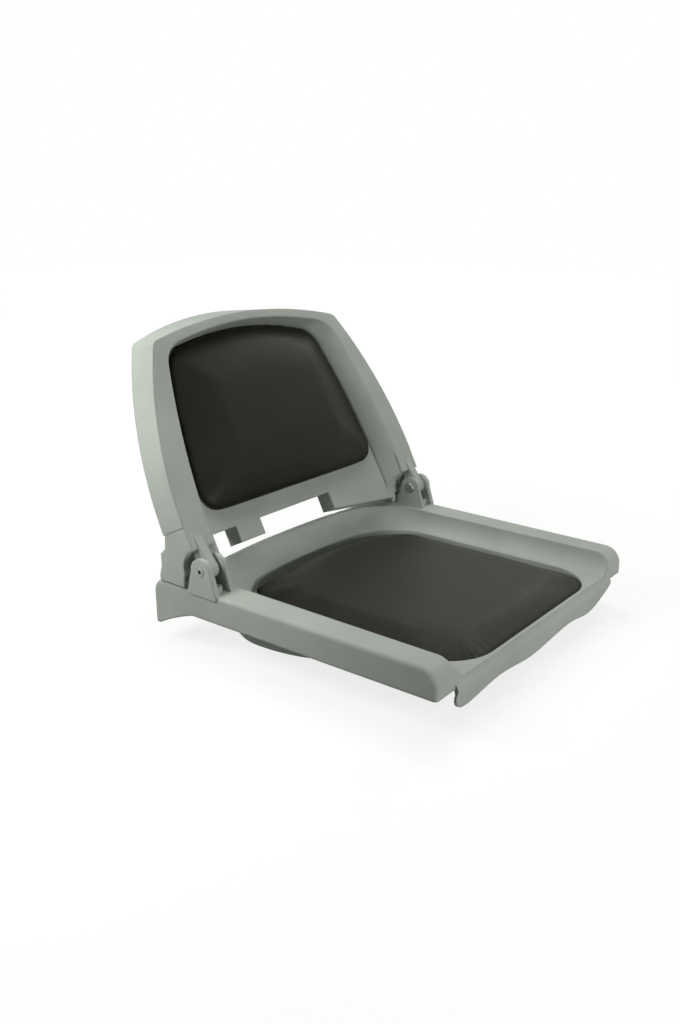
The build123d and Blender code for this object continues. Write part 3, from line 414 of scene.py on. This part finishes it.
def outwards(item):
    # faces turned to point out of a closed mesh
    bpy.ops.object.select_all(action="DESELECT")
    item.select_set(True)
    bpy.context.view_layer.objects.active = item
    bpy.ops.object.mode_set(mode="EDIT")
    bpy.ops.mesh.select_all(action="SELECT")
    bpy.ops.mesh.remove_doubles(threshold=1e-6)
    bpy.ops.mesh.normals_make_consistent(inside=False)
    bpy.ops.object.mode_set(mode="OBJECT")


def meshPoints(data):
    points = np.empty(len(data.vertices) * 3)
    data.vertices.foreach_get("co", points)
    return points.reshape(-1, 3)


def applied(item):
    # the item's modifiers made part of its mesh
    graph = bpy.context.evaluated_depsgraph_get()
    finished = bpy.data.meshes.new_from_object(item.evaluated_get(graph), depsgraph=graph)
    item.modifiers.clear()
    old = item.data
    item.data = finished
    bpy.data.meshes.remove(old)


def evened(data, field, rounds, ownShare):
    # a vector field on the mesh's points, averaged with its neighbours along the edges
    pairs = np.empty(len(data.edges) * 2, dtype=np.int64)
    data.edges.foreach_get("vertices", pairs)
    a, b = pairs.reshape(-1, 2).T
    count = np.bincount(np.concatenate([a, b]), minlength=len(field))[:, None]
    for _ in range(rounds):
        near = np.zeros_like(field)
        for k in range(3):
            near[:, k] = np.bincount(a, field[b, k], len(field)) + np.bincount(b, field[a, k], len(field))
        field = ownShare * field + (1 - ownShare) * near / np.maximum(count, 1)
    return field


def pressedOut(item, rest, hold, values):
    # the cover as cloth under the foam's pressure: its moves are evened out, then capped
    group = item.vertex_groups.new(name="held")
    group.add(np.nonzero(hold(rest))[0].tolist(), 1.0, "REPLACE")
    cloth = item.modifiers.new("cloth", "CLOTH")
    cloth.settings.quality = values["quality"]
    cloth.settings.mass = values["mass"]
    cloth.settings.tension_stiffness = values["stretch"]
    cloth.settings.compression_stiffness = values["stretch"]
    cloth.settings.bending_stiffness = values["bending"]
    cloth.settings.use_pressure = True
    cloth.settings.uniform_pressure_force = values["pressure"]
    cloth.settings.effector_weights.gravity = 0
    cloth.settings.vertex_group_mass = "held"
    cloth.point_cache.frame_start = 1
    cloth.point_cache.frame_end = values["frames"]
    for step in range(1, values["frames"] + 1):
        bpy.context.scene.frame_set(step)
    applied(item)
    move = evened(item.data, meshPoints(item.data) - rest, values["even"], values["ownShare"])
    length = np.linalg.norm(move, axis=1, keepdims=True)
    move *= np.minimum(1.0, values["cap"] / np.maximum(length, 1e-9))
    item.data.vertices.foreach_set("co", (rest + move).ravel())
    item.data.update()
    bpy.context.scene.frame_set(1)


def puffed(item, hold, values):
    # a pad's form remeshed evenly, pressed out, settled and made finer
    remesh = item.modifiers.new("evenMesh", "REMESH")
    remesh.mode = "VOXEL"
    remesh.voxel_size = values["voxel"]
    applied(item)
    pressedOut(item, meshPoints(item.data), hold, values)
    smooth = item.modifiers.new("settle", "SMOOTH")
    smooth.factor = values["settleShare"]
    smooth.iterations = values["settle"]
    finer = item.modifiers.new("finer", "SUBSURF")
    finer.levels = 1
    finer.render_levels = 1
    applied(item)
    item.data.polygons.foreach_set("use_smooth", [True] * len(item.data.polygons))
    item.vertex_groups.clear()


def nearestOnOutline(flat, outline):
    # the outline's sample nearest to each point in the plane, and the distance to it
    index = np.empty(len(flat), dtype=np.int64)
    batch = padGrid["atOnce"]
    for start in range(0, len(flat), batch):
        gap = np.linalg.norm(flat[start:start + batch, None, :] - outline[None, :, :], axis=2)
        index[start:start + batch] = gap.argmin(1)
    return index, np.linalg.norm(flat - outline[index], axis=1)


def roundedPath(corners, radii):
    # a closed outline through corner points, each corner rounded by its own radius, resampled evenly
    points = []
    count = len(corners)
    for i, radius in enumerate(radii):
        before, corner, after = (np.array(corners[(i + k) % count], float) for k in (-1, 0, 1))
        if radius == 0:
            points.append(corner)
            continue
        a, b = before - corner, after - corner
        a, b = a / np.linalg.norm(a), b / np.linalg.norm(b)
        half = math.acos(np.clip(a @ b, -1, 1)) / 2
        reach = radius / math.tan(half)
        middle = corner + (a + b) / np.linalg.norm(a + b) * radius / math.sin(half)
        start, end = corner + a * reach, corner + b * reach
        startAngle = math.atan2(*(start - middle)[::-1])
        turn = (math.atan2(*(end - middle)[::-1]) - startAngle + math.pi) % (2 * math.pi) - math.pi
        angle = startAngle + turn * np.linspace(0, 1, padGrid["arc"])
        points += list(middle + radius * np.column_stack([np.cos(angle), np.sin(angle)]))
    ring = np.array(points + points[:1])
    along = np.concatenate([[0], np.cumsum(np.linalg.norm(np.diff(ring, axis=0), axis=1))])
    places = np.linspace(0, along[-1], padGrid["around"], endpoint=False)
    return np.column_stack([np.interp(places, along, ring[:, k]) for k in range(2)])


def bowed(start, end, bow):
    # points on a shallow parabola between two points, pushed sideways by bow at its middle
    start, end = np.array(start), np.array(end)
    way = end - start
    side = np.array([way[1], -way[0]]) / np.linalg.norm(way)
    t = np.linspace(0, 1, padGrid["bow"], endpoint=False)[:, None]
    return start + way * t + side * (4 * bow * t * (1 - t))


def padRings(outline, centre, values):
    # rings from the underside's middle, out under the hem, up the drawn-in side and over the crown to the
    # top's middle. The side stands back by tuck times the square of the height left. On the crown, height
    # is edgeTop plus crown times one less a power of the share of the shoulder that is left
    spoke = outline - centre
    reach = np.linalg.norm(spoke, axis=1, keepdims=True)
    low, high = values["floor"], values["edgeTop"]

    under = np.linspace(padGrid["middle"], 1, padGrid["under"])[:, None, None]
    underFlat = centre + spoke * under * (1 - values["tuck"] / reach)
    underHeight = np.full(underFlat.shape[:2], low)

    side = np.linspace(0, 1, padGrid["side"] + 1)[1:, None, None]
    sideFlat = centre + spoke * (1 - values["tuck"] * (1 - side) ** 2 / reach)
    sideHeight = np.broadcast_to(low + (high - low) * side[..., 0], sideFlat.shape[:2])

    steps = np.linspace(0, 1 - padGrid["middle"], padGrid["over"] + 1)[1:, None, None]
    over = 1 - steps ** padGrid["crowding"]
    overFlat = centre + spoke * over
    _, away = nearestOnOutline(overFlat.reshape(-1, 2), outline)
    left = 1 - np.clip(away.reshape(overFlat.shape[:2]) / values["shoulder"], 0, 1)
    overHeight = high + values["crown"] * (1 - left ** padGrid["fullness"])

    flat = np.concatenate([underFlat, sideFlat, overFlat])
    height = np.concatenate([underHeight, sideHeight, overHeight])
    return np.concatenate([flat, height[..., None]], axis=2)


# Seat cushion: half-sizes, places and heights in metres
seatCushion = {
    "half": 0.1815,
    "front": -0.2315,
    "rear": 0.1550,
    "middle": -0.036,     # where the rings close, from front to back
    "rearBow": 0.018,
    "frontRound": 0.048,
    "rearRound": 0.088,
    "floor": 0.0472,      # underside, on the pocket floor
    "edgeTop": 0.0592,    # where the side turns into the crown
    "crown": 0.0155,      # rise of the crown above that
    "shoulder": 0.066,    # how far in the crown is reached
    "tuck": 0.006,        # how far the side is drawn in at the underside
}

# Puckers of the seat cushion's cover at its front corners, in metres
seatGathers = {
    "cornerX": 0.160,
    "cornerY": -0.220,
    "reach": 0.060,       # how far they spread along the outline
    "middle": 0.012,      # how far in from the outline they are deepest
    "width": 0.014,
    "pitch": 0.0135,      # from one pucker to the next
    "drift": 0.03,        # length over which that pitch wanders
    "depth": 0.0010,
    "from": 0.058,        # height above which they start
    "fade": 0.006,
}


def gathered(item, outline, values):
    # soft puckers of the cover round the front corners: the surface drops by
    # depth * (1 - cos(2 pi s / pitch + sin(s / drift))) / 2, where s runs along the outline, faded by two
    # bells: one along the outline round each corner, one across the shoulder
    points = meshPoints(item.data)
    index, away = nearestOnOutline(points[:, :2], outline)
    step = np.linalg.norm(np.roll(outline, -1, axis=0) - outline, axis=1)
    along = np.concatenate([[0], np.cumsum(step)[:-1]])[index]
    bell = np.zeros(len(points))
    for side in (-1, 1):
        corner = np.array([side * values["cornerX"], values["cornerY"]])
        bell += np.exp(-(np.linalg.norm(outline[index] - corner, axis=1) / values["reach"]) ** 2)
    across = np.exp(-((away - values["middle"]) / values["width"]) ** 2)
    ripple = (1 - np.cos(2 * np.pi * along / values["pitch"] + np.sin(along / values["drift"]))) / 2
    above = np.clip((points[:, 2] - values["from"]) / values["fade"], 0, 1)
    points[:, 2] -= values["depth"] * bell * across * ripple * above
    item.data.vertices.foreach_set("co", points.ravel())
    item.data.update()


def makeSeatCushion(values):
    half, front, side = values["half"], values["front"], values["rear"] - values["rearBow"]
    rear = bowed((half, side), (-half, side), values["rearBow"])[1:]
    corners = [(-half, front), (half, front), (half, side), *rear, (-half, side)]
    rearRound = values["rearRound"]
    radii = [values["frontRound"]] * 2 + [rearRound] + [0.0] * len(rear) + [rearRound]
    outline = roundedPath(corners, radii)
    item = meshFromGrid("seatCushion", padRings(outline, np.array([0.0, values["middle"]]), values))
    outwards(item)
    puffed(item, lambda points: points[:, 2] < values["floor"] + padCloth["held"], padCloth)
    gathered(item, outline, seatGathers)
    outwards(item)
    item.data.materials.append(vinyl)
    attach(item, "seat")
    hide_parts("seat_cushion_cover", "seat_cushion_foam")


makeSeatCushion(seatCushion)
print("stage: seat cushion")

# Back cushion, in metres along the backrest's own directions from the pin: across, up the back, rearwards
backCushion = {
    "half": 0.1955,       # half width at the bottom
    "low": 0.0670,
    "midHalf": 0.1865,
    "midHeight": 0.165,
    "cornerHalf": 0.1570,
    "corner": 0.3020,     # height of the top corners
    "top": 0.3265,
    "middle": 0.19,       # where the rings close, up the back
    "sideShares": (0.0, 0.2, 0.4, 0.6, 1.0),     # the side's points, from the low to the top corner
    "topShares": (0.2, 0.8),     # where the top's points start and end, from corner to corner
    "topPoints": 10,
    "lowRound": 0.032,
    "topRound": 0.042,
    "floorMiddle": 0.048,  # depth of the panel's front surface at its middle
    "floorBend": 0.9426,   # radius of the panel's curve across the back
    "skin": 0.0002,        # gap between pad and panel
    "edge": 0.0210,        # depth where the side turns into the crown
    "crown": 0.0180,       # rise of the crown in front of that
    "shoulder": 0.100,
    "tuck": 0.004,
}
unitHeights = {"floor": 0.0, "edgeTop": 1.0, "crown": 1.0}


def panelDepth(x, values):
    # depth of the panel's front surface at x: an arc of a circle across the back
    bend = values["floorBend"]
    return values["floorMiddle"] - bend + np.sqrt(bend * bend - x * x)


def backOutline(values):
    # half width on the sides is a parabola through its low, middle and corner values, and the top is a
    # parabola that falls from top to corner
    low, corner, top, cornerHalf = values["low"], values["corner"], values["top"], values["cornerHalf"]
    up = low + (corner - low) * np.array(values["sideShares"])
    heights, halfWidths = [low, values["midHeight"], corner], [values["half"], values["midHalf"], cornerHalf]
    halves = np.polyfit(heights, halfWidths, 2)
    right = np.column_stack([np.polyval(halves, up), up])
    share = np.linspace(*values["topShares"], values["topPoints"])
    x = cornerHalf * (1 - 2 * share)
    over = np.column_stack([x, top - (top - corner) * (x / cornerHalf) ** 2])
    left = right[::-1] * np.array([-1, 1])
    radii = [values["lowRound"]] + [0.0] * (len(right) - 2) + [values["topRound"]]
    return roundedPath(np.vstack([right, over, left]), radii + [0.0] * len(over) + radii[::-1])


def makeBackCushion(values):
    rings = padRings(backOutline(values), np.array([0.0, values["middle"]]), {**values, **unitHeights})
    across, up, level = rings[..., 0], rings[..., 1], rings[..., 2]
    # level 0 to 1 runs from the panel to the edge's depth, level 1 to 2 from there over the crown
    base = panelDepth(across, values) - values["skin"]
    side = base + (values["edge"] - base) * level
    crown = values["edge"] - values["crown"] * (level - 1)
    depth = np.where(level <= 1, side, crown)
    points = pin + across[..., None] * acrossWay + up[..., None] * upBack + depth[..., None] * rearward
    item = meshFromGrid("backCushion", points)
    outwards(item)

    def againstPanel(points):
        local = points - pin
        return local @ rearward > panelDepth(local[:, 0], values) - padCloth["held"]

    puffed(item, againstPanel, padCloth)
    outwards(item)
    item.data.materials.append(vinyl)
    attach(item, "backrest")
    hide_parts("back_cushion_cover", "back_cushion_foam")


makeBackCushion(backCushion)
print("stage: back cushion")

# Floor and light: places in metres, powers in watts
studio = {
    "floor": "#8F8F8D",
    "floorReach": 6.0,
    "floorGlow": (0.80, 1.0),     # under the seat, and from the second of glowReach out
    "glowReach": (0.45, 1.6),
    "sky": 0.02,                  # the world's light on the object
    "spread": 140.0,
}
lamps = {
    "front": {"place": (0.0, -2.0, 0.45), "aim": (0.0, 0.0, 0.2), "size": 0.8, "power": 11.4},
    "top": {"place": (0.1, 0.0, 2.0), "aim": (0.0, 0.0, 0.1), "size": 1.4, "power": 4.2},
    "rear": {"place": (0.707, 0.707, 1.93), "aim": (0.0, 0.0, 0.2), "size": 0.8, "power": 6.2},
    "right": {"place": (1.64, 0.0, 1.35), "aim": (0.0, 0.0, 0.2), "size": 0.8, "power": 3.8},
    "nearLeft": {"place": (-0.75, 0.50, 0.75), "aim": (-0.1, 0.25, 0.3), "size": 0.45, "power": 3.0},
    "left": {"place": (-0.9, 0.2, 0.5), "aim": (-0.2, 0.2, 0.3), "size": 0.4, "power": 1.1},
}


def seenRay(tree):
    # 1 for rays of the camera, of reflections and through clear things, 0 for the rest
    path = addNode(tree, "ShaderNodeLightPath")
    seen = addNode(
        tree, "ShaderNodeMath", {"operation": "ADD", "use_clamp": True},
        links={0: path.outputs["Is Camera Ray"], 1: path.outputs["Is Glossy Ray"]},
    )
    return addNode(
        tree, "ShaderNodeMath", {"operation": "ADD", "use_clamp": True},
        links={0: seen.outputs["Value"], 1: path.outputs["Is Transmission Ray"]},
    ).outputs["Value"]


def studioPaper(values):
    # matt paper: grey in the light it gives the object, white where it is seen, but for the object's shadow
    item, tree = newMaterial("studioPaper")
    spot = addNode(tree, "ShaderNodeTexCoord").outputs["Object"]
    away = addNode(tree, "ShaderNodeVectorMath", {"operation": "LENGTH"}, links={0: spot})
    near, far = values["glowReach"]
    low, high = values["floorGlow"]
    rising = addNode(
        tree, "ShaderNodeMapRange", {"interpolation_type": "SMOOTHSTEP"},
        {"From Min": near, "From Max": far, "To Min": low, "To Max": high},
        {"Value": away.outputs["Value"]},
    )
    strength = addNode(
        tree, "ShaderNodeMath", {"operation": "MULTIPLY"},
        links={0: rising.outputs["Result"], 1: seenRay(tree)},
    )
    paper = addNode(tree, "ShaderNodeBsdfDiffuse", values={"Color": srgb(values["floor"])})
    glow = addNode(
        tree, "ShaderNodeEmission",
        values={"Color": (1, 1, 1, 1)},
        links={"Strength": strength.outputs["Value"]},
    )
    both = addNode(
        tree, "ShaderNodeAddShader",
        links={0: paper.outputs["BSDF"], 1: glow.outputs["Emission"]},
    )
    addNode(tree, "ShaderNodeOutputMaterial", links={"Surface": both.outputs["Shader"]})
    return item


def makeFloor(values):
    data = bpy.data.meshes.new("studioFloor")
    reach = values["floorReach"]
    corners = [(-reach, -reach, 0), (reach, -reach, 0), (reach, reach, 0), (-reach, reach, 0)]
    data.from_pydata(corners, [], [(0, 1, 2, 3)])
    data.materials.append(studioPaper(values))
    item = bpy.data.objects.new("studioFloor", data)
    bpy.context.scene.collection.objects.link(item)


def makeLight(name, values, spread):
    data = bpy.data.lights.new(name, "AREA")
    data.shape = "DISK"
    data.size = values["size"]
    data.energy = values["power"]
    data.spread = math.radians(spread)
    item = bpy.data.objects.new(name, data)
    bpy.context.scene.collection.objects.link(item)
    item.visible_camera = False
    turn = (Vector(values["aim"]) - Vector(values["place"])).to_track_quat("-Z", "Y")
    item.matrix_world = Matrix.Translation(values["place"]) @ turn.to_matrix().to_4x4()


def makeWorld(values):
    # white where it is seen, dim in its light on the object
    world = bpy.data.worlds.new("studioWorld")
    world.use_nodes = True
    tree = world.node_tree
    tree.nodes.clear()
    strength = addNode(
        tree, "ShaderNodeMapRange",
        values={"To Min": values["sky"], "To Max": 1.0},
        links={"Value": seenRay(tree)},
    )
    back = addNode(
        tree, "ShaderNodeBackground",
        values={"Color": (1, 1, 1, 1)},
        links={"Strength": strength.outputs["Result"]},
    )
    addNode(tree, "ShaderNodeOutputWorld", links={"Surface": back.outputs["Background"]})
    bpy.context.scene.world = world


makeFloor(studio)
for name, values in lamps.items():
    makeLight(name, values, studio["spread"])
makeWorld(studio)
bpy.context.scene.view_settings.view_transform = "Standard"
print("stage: studio")
